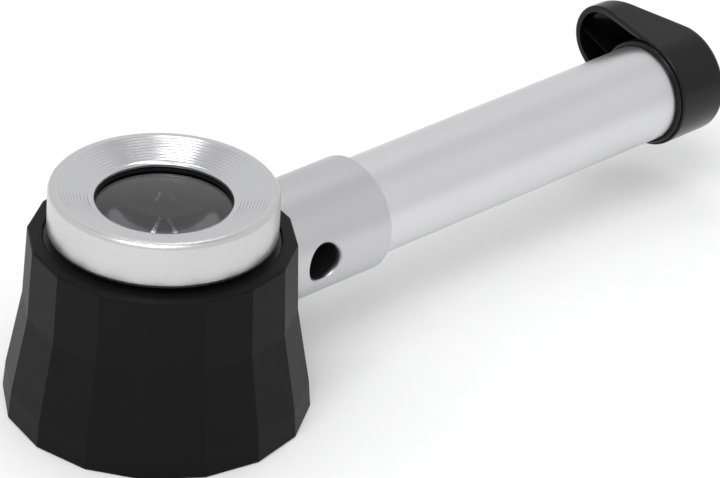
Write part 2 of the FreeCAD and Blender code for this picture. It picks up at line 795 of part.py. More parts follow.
def make_tail_cap():
    """Black screw cap: hollow side lobe with a slanted back and a thin rib, round boss inside."""
    block = new_body("cap_block", on_handle=True)
    outline = new_sketch(block, "cap_outline", "YZ_Plane", d.cap_start)
    draw_hull(outline)
    soften(block, pad(block, outline, d.cap_end - d.cap_start), d.cap_lip,
           lambda edge: abs(edge.BoundBox.XMax - d.cap_start.value) < 0.01)
    sloped = cut_away("cap", block, [slant("back_slant", 0)])
    doc.recompute()

    rounded = doc.addObject("Part::Fillet", "cap_rounded")
    rounded.Base = sloped
    radius = d.cap_corner.value
    rounded.Edges = [(number + 1, radius, radius)
                     for number, edge in enumerate(sloped.Shape.Edges)
                     if edge.BoundBox.XMin > d.cap_start.value + radius]

    hollow = new_body("cap_hollow", on_handle=True)
    inside = new_sketch(hollow, "hollow_outline", "YZ_Plane", d.cap_start - 1.0)
    draw_hull(inside, d.cap_wall)
    pad(hollow, inside, d.cap_end - d.cap_start - d.cap_back + 1.0)
    scooped = cut_away("hollow", hollow, [slant("floor_slant", d.cap_back)])

    boss = new_body("cap_boss", on_handle=True)
    revolve(boss, [
        (d.boss_start, 0), (d.boss_start, d.boss_radius - d.boss_edge),
        (d.boss_start + d.boss_edge, d.boss_radius), (d.cap_end - d.cap_back * 0.5, d.boss_radius),
        (d.cap_end - d.cap_back * 0.5, 0),
    ], "x")
    whole = doc.addObject("Part::MultiFuse", "cap_whole")
    whole.Shapes = [cut_away("cap_shell", rounded, [scooped]), boss, make_rib()]

    bore = new_body("cap_bore", on_handle=True)
    floor = d.cap_end - d.cap_back
    revolve(bore, [
        (d.boss_start - 1.0, 0), (floor, 0), (floor, d.spring_room),
        (d.insert_end, d.spring_room), (d.insert_end, d.insert_radius),
        (d.insert_start, d.insert_radius), (d.insert_start, d.boss_bore),
        (d.boss_start - 1.0, d.boss_bore),
    ], "x")
    keep(cut_away("tail_cap", whole, [bore]), "tail_cap")


def make_tail_contacts():
    """Brass threaded insert moulded in the cap, sliding contact cup and its cone spring."""
    turned_part("cap_insert", [
        (d.insert_start, d.insert_thread), (d.insert_start, d.insert_radius),
        (d.insert_end, d.insert_radius), (d.insert_end, d.spring_room),
        (d.insert_step, d.spring_room), (d.insert_step, d.insert_thread),
    ], "x")
    floor = d.cup_end - d.cup_floor
    turned_part("tail_contact", [
        (d.cup_start, d.cup_bore), (d.cup_start, d.cup_radius), (d.cup_end, d.cup_radius),
        (d.cup_end, 0), (floor, 0), (floor, d.cup_bore),
    ], "x")


def make_tail_spring():
    """Cone spring wound from round wire, wide end on the contact cup."""
    coil = doc.addObject("Part::Helix", "spring_line")
    bind(coil, "Pitch", d.spring_pitch)
    bind(coil, "Height", d.spring_height)
    bind(coil, "Radius", d.spring_large)
    bind(coil, "Angle", Size(0, "(Sizes.spring_slope * -1 deg)"))
    wire = doc.addObject("Part::Circle", "spring_section")
    bind(wire, "Radius", d.spring_wire)
    wire.Placement = FreeCAD.Placement(Vec(0, 0, 0), FreeCAD.Rotation(Vec(1, 0, 0), 90))
    bind(wire, "Placement.Base.x", d.spring_large)
    sweep = doc.addObject("Part::Sweep", "tail_spring")
    sweep.Sections = [wire]
    sweep.Spine = (coil, [])
    sweep.Solid = True
    sweep.Frenet = True
    sweep.Placement = FreeCAD.Placement(Vec(0, 0, 0), FreeCAD.Rotation(Vec(0, 1, 0), -90))
    bind(sweep, "Placement.Base.x", d.cup_end - d.cup_floor - d.spring_wire)
    bind(sweep, "Placement.Base.z", d.axis_height)
    keep(sweep, "tail_spring")


# ---------------------------------------------------------------- build and write

def build():
    make_skirt()
    make_focus_barrel()
    make_barrel_clip()
    make_focus_oring()
    make_guide_pin()
    make_focus_ring()
    make_carrier_clip()
    make_lens_cell()
    make_lenses()
    make_neck_sleeve()
    make_grub_screw("sleeve_screw", d.cross_hole_at, d.cross_hole + 2.4)
    make_grub_screw("tube_screw", (d.stub_end + d.sleeve_end) * 0.5, d.tube_bore + d.screw_gap)
    make_light_unit()
    make_wires()
    make_driver()
    make_handle_tube()
    make_tail_oring()
    make_batteries()
    make_tail_cap()
    make_tail_contacts()
    make_tail_spring()
    doc.recompute()


def check():
    """Stop if any feature failed, or if a sub-part is empty or not a valid solid."""
    for obj in doc.Objects:
        if "Invalid" in obj.State or "Error" in obj.State:
            raise RuntimeError("feature failed: %s %s" % (obj.Name, obj.State))
    for obj in parts:
        if obj.Shape.isNull() or not obj.Shape.isValid() or not obj.Shape.Solids:
            raise RuntimeError("bad shape: %s" % obj.Label)


def write():
    os.makedirs("parts", exist_ok=True)
    for obj in parts:
        obj.Shape.exportStep(os.path.join("parts", obj.Label + ".step"))
        print("%-16s %2d solid(s) %10.2f mm3" % (obj.Label, len(obj.Shape.Solids), obj.Shape.Volume))


build()
check()
write()
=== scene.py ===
import math

import bmesh
import bpy
from mathutils import Matrix, Vector


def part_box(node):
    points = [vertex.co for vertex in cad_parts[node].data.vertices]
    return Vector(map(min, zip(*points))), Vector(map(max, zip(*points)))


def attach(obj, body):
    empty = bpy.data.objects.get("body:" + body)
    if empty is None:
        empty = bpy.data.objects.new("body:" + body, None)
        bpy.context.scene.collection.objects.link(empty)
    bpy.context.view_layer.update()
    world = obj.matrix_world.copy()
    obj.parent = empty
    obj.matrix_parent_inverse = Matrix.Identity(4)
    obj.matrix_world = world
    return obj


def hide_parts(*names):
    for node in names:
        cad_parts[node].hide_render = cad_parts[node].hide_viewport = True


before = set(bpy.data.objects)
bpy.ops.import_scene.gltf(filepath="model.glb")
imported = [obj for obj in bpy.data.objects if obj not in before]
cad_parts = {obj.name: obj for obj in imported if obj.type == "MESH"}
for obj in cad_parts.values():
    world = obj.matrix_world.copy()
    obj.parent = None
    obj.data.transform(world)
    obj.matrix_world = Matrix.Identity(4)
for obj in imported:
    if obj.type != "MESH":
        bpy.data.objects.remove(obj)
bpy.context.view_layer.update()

MM = 0.001
TURN = 2.0 * math.pi

# ---------------------------------------------------------------- sizes, from the frame

skirt_low, skirt_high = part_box("skirt")
ring_low, ring_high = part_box("focus_ring")
sleeve_low, sleeve_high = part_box("neck_sleeve")
tube_low, tube_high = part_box("handle_tube")
cap_low, cap_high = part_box("tail_cap")

AXIS_Z = (tube_low.z + tube_high.z) / 2
TUBE_RADIUS = (tube_high.z - tube_low.z) / 2
SLEEVE_RADIUS = (sleeve_high.z - sleeve_low.z) / 2
SLEEVE_END = sleeve_high.x
RING_RADIUS = ring_high.x
RING_TOP = ring_high.z
RING_FOOT = ring_low.z
RIM_LEVEL = skirt_high.z
CAP_START = cap_low.x + 0.7 * MM
CAP_END = cap_high.x

# faceted head: (level, corner radius) where the flats change slope
FACETS = 16
BASE_CORNER = -skirt_low.x
KICK_LEVEL, KICK_CORNER = 5.0 * MM, 26.0 * MM
WAIST_LEVEL, WAIST_CORNER = 19.2 * MM, 23.4 * MM
RIM_CORNER = 22.8 * MM
LEDGE_RADIUS, LEDGE_LEVEL = 20.1 * MM, 28.5 * MM
WELL_RADIUS, CEILING_LEVEL = 21.0 * MM, 25.8 * MM
CLIP_GROOVE, CLIP_HEIGHT = 21.6 * MM, 0.8 * MM
FACET_EDGE = 0.45 * MM

CROSS_X, CROSS_RADIUS, CROSS_EDGE = 28.4 * MM, 3.5 * MM, 0.35 * MM
STUB_RADIUS, STUB_END = 9.35 * MM, 34.0 * MM
POCKET_RADIUS, POCKET_FLOOR = 6.3 * MM, 24.0 * MM

# ---------------------------------------------------------------- outlines


def soften(points, steps=5):
    """Round the corners of a closed outline. A point is (u, v, radius, ...); what follows
    the radius stays with every point made from that corner."""
    made = []
    for index, (u, v, radius, *rest) in enumerate(points):
        corner = Vector((u, v))
        before = Vector(points[index - 1][:2]) - corner
        after = Vector(points[(index + 1) % len(points)][:2]) - corner
        if radius <= 0:
            made.append((u, v, *rest))
            continue
        opening = before.angle(after)
        reach = radius / math.tan(opening / 2)
        before, after = before.normalized(), after.normalized()
        centre = corner + (before + after).normalized() * (radius / math.sin(opening / 2))
        start, end = corner + before * reach - centre, corner + after * reach - centre
        sweep = start.angle_signed(end)
        for step in range(steps + 1):
            turn = -sweep * step / steps
            spoke = Matrix.Rotation(turn, 2) @ start
            made.append((*(centre + spoke), *rest))
    return made


def facet_ring(corner_radius, level, edge):
    """Points round the 16-sided outline at one level, corners rounded, one mid point a flat."""
    corners = []
    for number in range(FACETS):
        turn = TURN * number / FACETS
        corners.append((corner_radius * math.cos(turn), corner_radius * math.sin(turn), edge))
    ring = []
    rounded = soften(corners, steps=4)
    per_corner = len(rounded) // FACETS
    for number in range(FACETS):
        group = rounded[number * per_corner:(number + 1) * per_corner]
        following = rounded[(number + 1) * per_corner % len(rounded)]
        last = group[-1]
        middle = ((last[0] + following[0]) / 2, (last[1] + following[1]) / 2)
        ring += [Vector((x, y, level)) for x, y in group + [middle]]
    return ring


def round_ring(like, radius, level):
    """A circle whose points have the same headings as another ring's."""
    ring = []
    for point in like:
        flat = Vector((point.x, point.y)).normalized() * radius
        ring.append(Vector((flat.x, flat.y, level)))
    return ring


# ---------------------------------------------------------------- meshes


def new_object(name, skin):
    """Turn a bmesh into an object in the scene."""
    mesh = bpy.data.meshes.new(name)
    skin.to_mesh(mesh)
    skin.free()
    made = bpy.data.objects.new(name, mesh)
    bpy.context.scene.collection.objects.link(made)
    return made


def new_piece(name, skin, body, replaces=(), cutter=None):
    """Make an object, with smooth shading and any cut taken, and set it on its CAD body."""
    piece = new_object(name, skin)
    if cutter is not None:
        tool = new_object("cutter", cutter)
        cut = piece.modifiers.new("cut", "BOOLEAN")
        cut.operation, cut.solver, cut.object = "DIFFERENCE", "EXACT", tool
        graph = bpy.context.evaluated_depsgraph_get()
        result = bpy.data.meshes.new_from_object(piece.evaluated_get(graph))
        piece.modifiers.clear()
        piece.data = result
        bpy.data.objects.remove(tool)
    piece.data.polygons.foreach_set("use_smooth", [True] * len(piece.data.polygons))
    piece.data.set_sharp_from_angle(angle=math.radians(38))
    weighted = piece.modifiers.new("even_normals", "WEIGHTED_NORMAL")
    weighted.keep_sharp = True
    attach(piece, body)
    if replaces:
        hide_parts(*replaces)
    return piece


def tidy(skin):
    """Merge points that fall together, drop what collapses, and turn every face outwards."""
    bmesh.ops.remove_doubles(skin, verts=skin.verts, dist=1e-7)
    bmesh.ops.dissolve_degenerate(skin, edges=skin.edges, dist=1e-8)
    bmesh.ops.recalc_face_normals(skin, faces=skin.faces)
    return skin


def loft(rings, ends_meet=True, skin=None):
    """Quads between rings of equal length, each ring closed; the last ring meets the first."""
    skin = skin or bmesh.new()
    rows = [[skin.verts.new(point) for point in ring] for ring in rings]
    pairs = list(zip(rows, rows[1:]))
    if ends_meet:
        pairs.append((rows[-1], rows[0]))
    count = len(rows[0])
    for lower, upper in pairs:
        for n in range(count):
            after = (n + 1) % count
            skin.faces.new((lower[n], lower[after], upper[after], upper[n]))
    return skin


def about_z(radius, along, turn):
    """Sweep a (radius, height) point round the optical axis."""
    return Vector((radius * math.cos(turn), radius * math.sin(turn), along))


def about_handle(radius, along, turn):
    """Sweep a (radius, x) point round the handle's axis."""
    return Vector((along, radius * math.cos(turn), AXIS_Z + radius * math.sin(turn)))


def turned(outline, place, segments=192):
    """A closed outline of (radius, along) points turned about the optical or handle axis."""
    rings = []
    for number in range(segments):
        turn = TURN * number / segments
        rings.append([place(radius, along, turn) for radius, along in outline])
    return tidy(loft(rings))


# ---------------------------------------------------------------- node helpers


def new_material(name, **settings):
    """A Principled material; every setting is put on the shader's own socket."""
    made = bpy.data.materials.new(name)
    made.use_nodes = True
    shader = made.node_tree.nodes["Principled BSDF"]
    for socket, value in settings.items():
        shader.inputs[socket.replace("_", " ")].default_value = value
    return made, made.node_tree.nodes, made.node_tree.links, shader


def object_noise(nodes, links, scale, detail=2.0, stretch=(1, 1, 1)):
    """Noise in the object's own coordinates; scale is in features a metre."""
    place = nodes.new("ShaderNodeTexCoord")
    mapping = nodes.new("ShaderNodeMapping")
    mapping.inputs["Scale"].default_value = stretch
    noise = nodes.new("ShaderNodeTexNoise")
    noise.inputs["Scale"].default_value = scale
    noise.inputs["Detail"].default_value = detail
    links.new(place.outputs["Object"], mapping.inputs["Vector"])
    links.new(mapping.outputs["Vector"], noise.inputs["Vector"])
    return noise.outputs["Fac"]


def span(nodes, links, value, low, high):
    """Spread a 0 to 1 value over a range."""
    ramp = nodes.new("ShaderNodeMapRange")
    ramp.inputs["From Min"].default_value = 0.3
    ramp.inputs["From Max"].default_value = 0.7
    ramp.inputs["To Min"].default_value = low
    ramp.inputs["To Max"].default_value = high
    links.new(value, ramp.inputs["Value"])
    return ramp.outputs["Result"]


def mix_colour(nodes, links, value, dark, light):
    """Run from a dark to a light colour as the value goes from 0 to 1."""
    mixer = nodes.new("ShaderNodeMix")
    mixer.data_type = "RGBA"
    mixer.inputs["A"].default_value = (*dark, 1)
    mixer.inputs["B"].default_value = (*light, 1)
    links.new(value, mixer.inputs["Factor"])
    return mixer.outputs["Result"]


def add_bump(nodes, links, shader, height, distance):
    """Raise the surface by a 0 to 1 height; distance is the height of 1."""
    bump = nodes.new("ShaderNodeBump")
    bump.inputs["Distance"].default_value = distance
    links.new(height, bump.inputs["Height"])
    links.new(bump.outputs["Normal"], shader.inputs["Normal"])


def speckled(name, dark, light, rough_low, rough_high, grain, depth, **settings):
    """The usual finish: colour and roughness drift slowly, and a fine grain stands proud."""
    made, nodes, links, shader = new_material(name, **settings)
    drift = object_noise(nodes, links, 90.0, 3.0)
    fine = object_noise(nodes, links, grain, 3.0)
    links.new(mix_colour(nodes, links, drift, dark, light), shader.inputs["Base Color"])
    links.new(span(nodes, links, fine, rough_low, rough_high), shader.inputs["Roughness"])
    if depth > 0:
        add_bump(nodes, links, shader, fine, depth)
    return made


# ---------------------------------------------------------------- materials

head_plastic = speckled("head_plastic", (0.0036, 0.0035, 0.0034), (0.0054, 0.0052, 0.0050),
                        0.40, 0.50, 2600.0, 0.012 * MM, Specular_IOR_Level=0.10)
cap_plastic = speckled("cap_plastic", (0.0022, 0.0022, 0.0028), (0.0034, 0.0034, 0.0042),
                       0.16, 0.24, 900.0, 0.003 * MM, Specular_IOR_Level=0.26)
# a darker, duller copy of the cap plastic for the rib in the hollow lobe: painted shade of the
# cavity
cap_rib_painted_shade = speckled("cap_rib_painted_shade", (0.0010, 0.0010, 0.0012), (0.0018, 0.0018, 0.0022),
                    0.55, 0.70, 900.0, 0.003 * MM, Specular_IOR_Level=0.06)
inner_plastic = speckled("inner_plastic", (0.006, 0.006, 0.006), (0.010, 0.010, 0.010),
                         0.55, 0.70, 2200.0, 0.01 * MM, Specular_IOR_Level=0.25)
tube_metal = speckled("tube_metal", (0.66, 0.66, 0.665), (0.70, 0.70, 0.705),
                      0.30, 0.40, 5200.0, 0.0045 * MM, Metallic=1.0)
sleeve_metal = speckled("sleeve_metal", (0.55, 0.55, 0.56), (0.59, 0.59, 0.60),
                        0.31, 0.41, 5200.0, 0.0045 * MM, Metallic=1.0)
ring_metal = speckled("ring_metal", (0.58, 0.58, 0.58), (0.63, 0.63, 0.63),
                      0.26, 0.36, 5200.0, 0.004 * MM, Metallic=1.0)
black_metal = speckled("black_metal", (0.010, 0.010, 0.011), (0.018, 0.018, 0.020),
                       0.35, 0.50, 3000.0, 0.006 * MM, Metallic=0.4)
steel = speckled("steel", (0.42, 0.42, 0.43), (0.52, 0.52, 0.53), 0.25, 0.38, 3500.0,
                 0.004 * MM, Metallic=1.0)
brass = speckled("brass", (0.66, 0.48, 0.20), (0.76, 0.58, 0.28), 0.18, 0.30, 3500.0,
                 0.003 * MM, Metallic=1.0)
rubber = speckled("rubber", (0.010, 0.010, 0.010), (0.018, 0.018, 0.018), 0.55, 0.75,
                  2500.0, 0.008 * MM, Specular_IOR_Level=0.3)
board_mask = speckled("board_mask", (0.012, 0.075, 0.030), (0.020, 0.110, 0.045), 0.30,
                      0.42, 1800.0, 0.004 * MM)
led_resin = speckled("led_resin", (0.78, 0.62, 0.16), (0.88, 0.74, 0.26), 0.25, 0.35,
                     1800.0, 0.003 * MM)
chip_resin = speckled("chip_resin", (0.012, 0.012, 0.012), (0.020, 0.020, 0.020), 0.45,
                      0.60, 2600.0, 0.006 * MM)
red_sleeve = speckled("red_sleeve", (0.45, 0.02, 0.015), (0.55, 0.03, 0.02), 0.35, 0.50,
                      1800.0, 0.004 * MM)
black_sleeve = speckled("black_sleeve", (0.010, 0.010, 0.010), (0.016, 0.016, 0.016), 0.35,
                        0.50, 1800.0, 0.004 * MM)
jacket = speckled("jacket", (0.16, 0.18, 0.21), (0.22, 0.24, 0.28), 0.25, 0.35, 1500.0,
                  0.002 * MM, Metallic=0.6)


def turned_face_material():
    """Bright turned aluminium: brushed round the optical axis, fine tool lines on each groove."""
    made, nodes, links, shader = new_material("turned_face", Metallic=1.0, Anisotropic=0.65)
    tangent = nodes.new("ShaderNodeTangent")
    tangent.direction_type = "RADIAL"
    tangent.axis = "Z"
    links.new(tangent.outputs["Tangent"], shader.inputs["Tangent"])
    place = nodes.new("ShaderNodeTexCoord")
    split = nodes.new("ShaderNodeSeparateXYZ")
    links.new(place.outputs["Object"], split.inputs["Vector"])
    flat = nodes.new("ShaderNodeCombineXYZ")
    links.new(split.outputs["X"], flat.inputs["X"])
    links.new(split.outputs["Y"], flat.inputs["Y"])
    radius = nodes.new("ShaderNodeVectorMath")
    radius.operation = "LENGTH"
    links.new(flat.outputs["Vector"], radius.inputs[0])
    lines = nodes.new("ShaderNodeTexNoise")
    lines.noise_dimensions = "1D"
    lines.inputs["Scale"].default_value = 9000.0
    lines.inputs["Detail"].default_value = 2.0
    links.new(radius.outputs["Value"], lines.inputs["W"])
    colour = mix_colour(nodes, links, lines.outputs["Fac"],
                        (0.56, 0.56, 0.565), (0.66, 0.66, 0.665))
    links.new(colour, shader.inputs["Base Color"])
    links.new(span(nodes, links, lines.outputs["Fac"], 0.13, 0.21), shader.inputs["Roughness"])
    add_bump(nodes, links, shader, lines.outputs["Fac"], 0.004 * MM)
    return made


def glass_material(name, tint, index, rough):
    """Glass for lenses and window with the faintest handling haze; a dark tint here is painted
    shade, not the glass's own colour.
    """
    made, nodes, links, shader = new_material(
        name, Transmission_Weight=1.0, IOR=index, Base_Color=(*tint, 1))
    haze = object_noise(nodes, links, 260.0, 4.0)
    links.new(span(nodes, links, haze, 0.0, rough), shader.inputs["Roughness"])
    return made


turned_face = turned_face_material()
# the lenses are clear glass; their dark tint is painted shade, standing in for the dark inside of
# the head seen through them
lens_glass = glass_material("lens_glass", (0.11, 0.11, 0.12), 1.56, 0.01)
window_clear = glass_material("window_clear", (0.95, 0.96, 0.96), 1.49, 0.12)


def paint(piece, *materials):
    """Put the materials on a piece, in slot order."""
    piece.data.materials.clear()
    for made in materials:
        piece.data.materials.append(made)


# ---------------------------------------------------------------- head


def build_skirt():
    """Faceted shell: 16 flats outside, round seats on top, straight round well inside."""
    edge = 0.3 * MM
    outline = soften([
        (BASE_CORNER, 0.0, 0.35 * MM, True),
        (KICK_CORNER, KICK_LEVEL, 6 * MM, True),
        (WAIST_CORNER, WAIST_LEVEL, 5 * MM, True),
        (RIM_CORNER, RIM_LEVEL, 0.5 * MM, True),
        (LEDGE_RADIUS, RIM_LEVEL, edge, False),
        (LEDGE_RADIUS, LEDGE_LEVEL, 0, False),
        (WELL_RADIUS, LEDGE_LEVEL, 0, False),
        (WELL_RADIUS, CEILING_LEVEL, 0, False),
        (CLIP_GROOVE, CEILING_LEVEL, 0, False),
        (CLIP_GROOVE, CEILING_LEVEL - CLIP_HEIGHT, 0, False),
        (WELL_RADIUS, CEILING_LEVEL - CLIP_HEIGHT, 0, False),
        (WELL_RADIUS, 0.0, edge, False),
    ], steps=4)
    guide = facet_ring(BASE_CORNER, 0.0, FACET_EDGE)
    rings = []
    for radius, level, faceted in outline:
        if faceted:
            rings.append(facet_ring(radius, level, FACET_EDGE))
        else:
            rings.append(round_ring(guide, radius, level))
    pocket = turned([(0, WELL_RADIUS - 3 * MM), (POCKET_RADIUS, WELL_RADIUS - 3 * MM),
                     (POCKET_RADIUS, POCKET_FLOOR - 1 * MM), (0, POCKET_FLOOR - 1 * MM)],
                    about_handle, 64)
    skirt = new_piece("head_shell", tidy(loft(rings)), "housing", ["skirt"], pocket)
    paint(skirt, head_plastic)


def build_spigot():
    """The shell's stub inside the neck sleeve, seen as the black wall of the cross hole."""
    skin = turned([(0, POCKET_FLOOR - 1 * MM), (STUB_RADIUS, POCKET_FLOOR - 1 * MM),
                   (STUB_RADIUS, STUB_END), (0, STUB_END)], about_handle, 96)
    drill = bmesh.new()
    bmesh.ops.create_cone(drill, cap_ends=True, segments=72, radius1=CROSS_RADIUS,
                          radius2=CROSS_RADIUS, depth=30 * MM,
                          matrix=Matrix.Translation((CROSS_X, 0, AXIS_Z)) @ Matrix.Rotation(
                              math.pi / 2, 4, "X"))
    spigot = new_piece("neck_spigot", skin, "housing", cutter=drill)
    paint(spigot, inner_plastic)


def build_focus_ring():
    """Focusing ring: soft outer edge, dished face with nine turned grooves, smooth eye opening."""
    dish, lip = 17.8 * MM, 11.7 * MM
    lip_level, plate = 39.05 * MM, 38.45 * MM
    pitch, depth, grooves = 0.6 * MM, 0.17 * MM, 9
    slope = (RING_TOP - lip_level) / (dish - lip)
    outline = [(RING_RADIUS - 0.1 * MM, RING_FOOT, 0.1 * MM),
               (RING_RADIUS, RING_FOOT + 0.5 * MM, 0.4 * MM),
               (RING_RADIUS, RING_TOP, 1.1 * MM), (dish, RING_TOP, 0.15 * MM)]
    for number in range(grooves):
        crest = dish - pitch * (number + 1)
        valley = crest + pitch * 0.5
        outline.append((valley, RING_TOP - (dish - valley) * slope - depth, 0.10 * MM))
        outline.append((crest, RING_TOP - (dish - crest) * slope, 0.07 * MM))
    room, clip, thread = 15.3 * MM, 16.2 * MM, 15.75 * MM
    clip_top, clip_foot = 36.6 * MM, 35.8 * MM
    outline += [(lip, lip_level, 0.2 * MM), (lip, plate, 0.1 * MM), (room, plate, 0),
                (room, clip_top, 0), (clip, clip_top, 0), (clip, clip_foot, 0),
                (thread, clip_foot, 0), (thread, RING_FOOT, 0.2 * MM)]
    skin = turned(soften(outline, steps=3), about_z, 256)
    ring = new_piece("focusing_ring", skin, "focus_ring", ["focus_ring"])
    paint(ring, ring_metal, turned_face)
    for face in ring.data.polygons:
        centre = face.center
        reach = math.hypot(centre.x, centre.y)
        if lip < reach < dish and centre.z > plate + 0.5 * MM:
            face.material_index = 1


def dome(radius, edge_level, rise, steps=14):
    """Points from the rim to the axis along a spherical cap."""
    sphere = (radius ** 2 + rise ** 2) / (2 * abs(rise))
    sign = 1 if rise > 0 else -1
    made = []
    for step in range(steps + 1):
        reach = radius * (1 - step / steps)
        height = math.sqrt(sphere ** 2 - reach ** 2) - (sphere - abs(rise))
        made.append((reach, edge_level + sign * height))
    return made


def build_lenses():
    """Two polished lenses with true spherical faces and ground edges."""
    specs = (("eye_lens", "upper_lens", 37.9 * MM, 11.5 * MM, 0.8 * MM, 11.1 * MM, -2.2 * MM),
             ("field_lens", "lower_lens", 31.0 * MM, 11.1 * MM, 1.6 * MM, 10.8 * MM, -1.0 * MM))
    edge_height = 2.6 * MM
    outer = 12.2 * MM
    for name, node, high, top_rim, rise, low_rim, fall in specs:
        top = dome(top_rim, high, rise)
        bottom = list(reversed(dome(low_rim, high - edge_height, fall)))
        outline = [(outer, high - edge_height), (outer, high)] + top + bottom
        piece = new_piece(name, turned(outline, about_z, 160), "lens_carrier", [node])
        # the lens glass carries a dark tint that is painted shade of the enclosed well
        paint(piece, lens_glass)


# ---------------------------------------------------------------- neck and handle


def head_surface_x(side, height):
    """Where the faceted shell's outside lies along +X, at a place across and up."""
    levels = [(0.0, BASE_CORNER), (KICK_LEVEL, KICK_CORNER), (WAIST_LEVEL, WAIST_CORNER),
              (RIM_LEVEL, RIM_CORNER)]
    corner = levels[-1][1]
    for (low, low_corner), (high, high_corner) in zip(levels, levels[1:]):
        if low <= height <= high:
            share = (height - low) / (high - low)
            corner = low_corner + (high_corner - low_corner) * share
    flat = corner * math.cos(math.pi / FACETS)
    reaches = []
    for number in range(3):
        heading = math.pi / FACETS * (2 * number + 1)
        reaches.append((flat - abs(side) * math.sin(heading)) / math.cos(heading))
    return min(reaches)


def hole_patch(skin, grid, centre_turn, radius, rims):
    """Fill the square left in a tube's wall with rings that close in on a round cross hole.
    grid gives the square's border vertices in order; rims are (hole radius, depth) pairs."""
    count = len(grid)
    previous = grid
    side = 1 if math.cos(centre_turn) > 0 else -1

    def surface(x, rise):
        depth_out = math.sqrt(radius ** 2 - rise ** 2)
        return x, side * depth_out, AXIS_Z + rise

    border = [(vert.co.x - CROSS_X, vert.co.z - AXIS_Z) for vert in grid]
    headings = [math.atan2(v, u) for u, v in border]
    steps = 5
    first = rims[0][0]
    rows = []
    for step in range(1, steps + 1):
        share = step / steps
        row = []
        for (u, v), heading in zip(border, headings):
            x = u + (first * math.cos(heading) - u) * share
            z = v + (first * math.sin(heading) - v) * share
            row.append(skin.verts.new(surface(CROSS_X + x, z)))
        rows.append(row)
    for hole_radius, depth in rims[1:]:
        row = []
        for heading in headings:
            rise = hole_radius * math.sin(heading)
            x, y, z = surface(CROSS_X + hole_radius * math.cos(heading), rise)
            row.append(skin.verts.new((x, y - side * depth, z)))
        rows.append(row)
    for row in rows:
        for n in range(count):
            after = (n + 1) % count
            skin.faces.new((previous[n], previous[after], row[after], row[n]))
        previous = row
    return previous


def build_sleeve():
    """Neck sleeve: scribed to the facets, soft end, and a chamfered cross hole right through."""
    segments, half = 96, 7
    reach = SLEEVE_RADIUS * math.sin(TURN * half / segments)
    bore = STUB_RADIUS + 0.05 * MM
    tube_bore = TUBE_RADIUS + 0.02 * MM
    edge = 0.55 * MM
    step_x = STUB_END + 0.2 * MM
    patch = [CROSS_X - reach + 2 * reach * n / (2 * half) for n in range(2 * half + 1)]
    outer = [("wall", None, SLEEVE_RADIUS)] + [("hole", x, SLEEVE_RADIUS) for x in patch]
    outer += [("plain", CROSS_X + reach + 2.0 * MM * n, SLEEVE_RADIUS) for n in (1, 2, 3, 4)]
    for step in range(6):
        turn = math.pi / 2 * step / 5
        outer.append(("plain", SLEEVE_END - edge + edge * math.sin(turn),
                      SLEEVE_RADIUS - edge + edge * math.cos(turn)))
    inner = [("plain", SLEEVE_END, tube_bore + 0.15 * MM),
             ("plain", SLEEVE_END - 0.15 * MM, tube_bore),
             ("plain", step_x, tube_bore), ("plain", step_x, bore)]
    inner += [("hole", x, bore) for x in reversed(patch)] + [("wall", None, bore)]
    profile = outer + inner
    skin = bmesh.new()
    columns = []
    for kind, x, radius in profile:
        column = []
        for number in range(segments):
            turn = TURN * number / segments
            side, rise = radius * math.cos(turn), radius * math.sin(turn)
            place = x
            if kind == "wall":
                place = head_surface_x(side, AXIS_Z + rise) - 0.6 * MM
            column.append(skin.verts.new((place, side, AXIS_Z + rise)))
        columns.append(column)

    def in_patch(number):
        for centre in (0, segments // 2):
            offset = (number - centre) % segments
            if offset < half or offset >= segments - half:
                return True
        return False

    count = len(profile)
    for index in range(count):
        following = (index + 1) % count
        both = profile[index][0] == "hole" and profile[following][0] == "hole"
        for number in range(segments):
            after = (number + 1) % segments
            if both and in_patch(number):
                continue
            skin.faces.new((columns[index][number], columns[index][after],
                            columns[following][after], columns[following][number]))
    first_outer, last_outer = 1, len(patch)
    first_inner = len(outer) + 4
    spans = ((columns[first_outer:last_outer + 1], SLEEVE_RADIUS,
              ((CROSS_RADIUS + CROSS_EDGE, 0.0), (CROSS_RADIUS + 0.12 * MM, CROSS_EDGE * 0.7),
               (CROSS_RADIUS, CROSS_EDGE * 1.25))),
             (columns[first_inner:first_inner + len(patch)][::-1], bore, ((CROSS_RADIUS, 0.0),)))
    for centre in (0, segments // 2):
        mouths = []
        for block, radius, rims in spans:
            border = []
            for number in range(-half, half):
                border.append(block[0][(centre + number) % segments])
            for column in block[:-1]:
                border.append(column[(centre + half) % segments])
            for number in range(half, -half, -1):
                border.append(block[-1][(centre + number) % segments])
            for column in block[:0:-1]:
                border.append(column[(centre - half) % segments])
            mouths.append(hole_patch(skin, border, TURN * centre / segments, radius, rims))
        near, far = mouths
        for n in range(len(near)):
            after = (n + 1) % len(near)
            skin.faces.new((near[n], near[after], far[after], far[n]))
    # the bore's unused vertices inside the squares go
    bmesh.ops.delete(skin, geom=[v for v in skin.verts if not v.link_faces], context="VERTS")
    sleeve = new_piece("neck_collar", tidy(skin), "housing", ["neck_sleeve"])
    paint(sleeve, sleeve_metal)


def build_tube():
    """Battery tube: thin-walled, soft front edge, seal groove and plain tail."""
    bore, thread = 7.8 * MM, 8.5 * MM
    groove, wide, floor = 118.0 * MM, 0.85 * MM, 8.25 * MM
    shoulder = 119.1 * MM
    outline = soften([
        (bore, tube_low.x, 0), (TUBE_RADIUS, tube_low.x, 0.2 * MM),
        (TUBE_RADIUS, groove, 0.08 * MM),
        (floor, groove, 0), (floor, groove + wide, 0), (TUBE_RADIUS, groove + wide, 0.05 * MM),
        (TUBE_RADIUS, shoulder, 0.05 * MM), (thread, shoulder, 0),
        (thread, tube_high.x, 0.2 * MM), (bore, tube_high.x, 0.1 * MM),
    ], steps=3)
    tube = new_piece("battery_tube", turned(outline, about_handle, 192), "housing",
                     ["handle_tube"])
    paint(tube, tube_metal)


# ---------------------------------------------------------------- tail cap

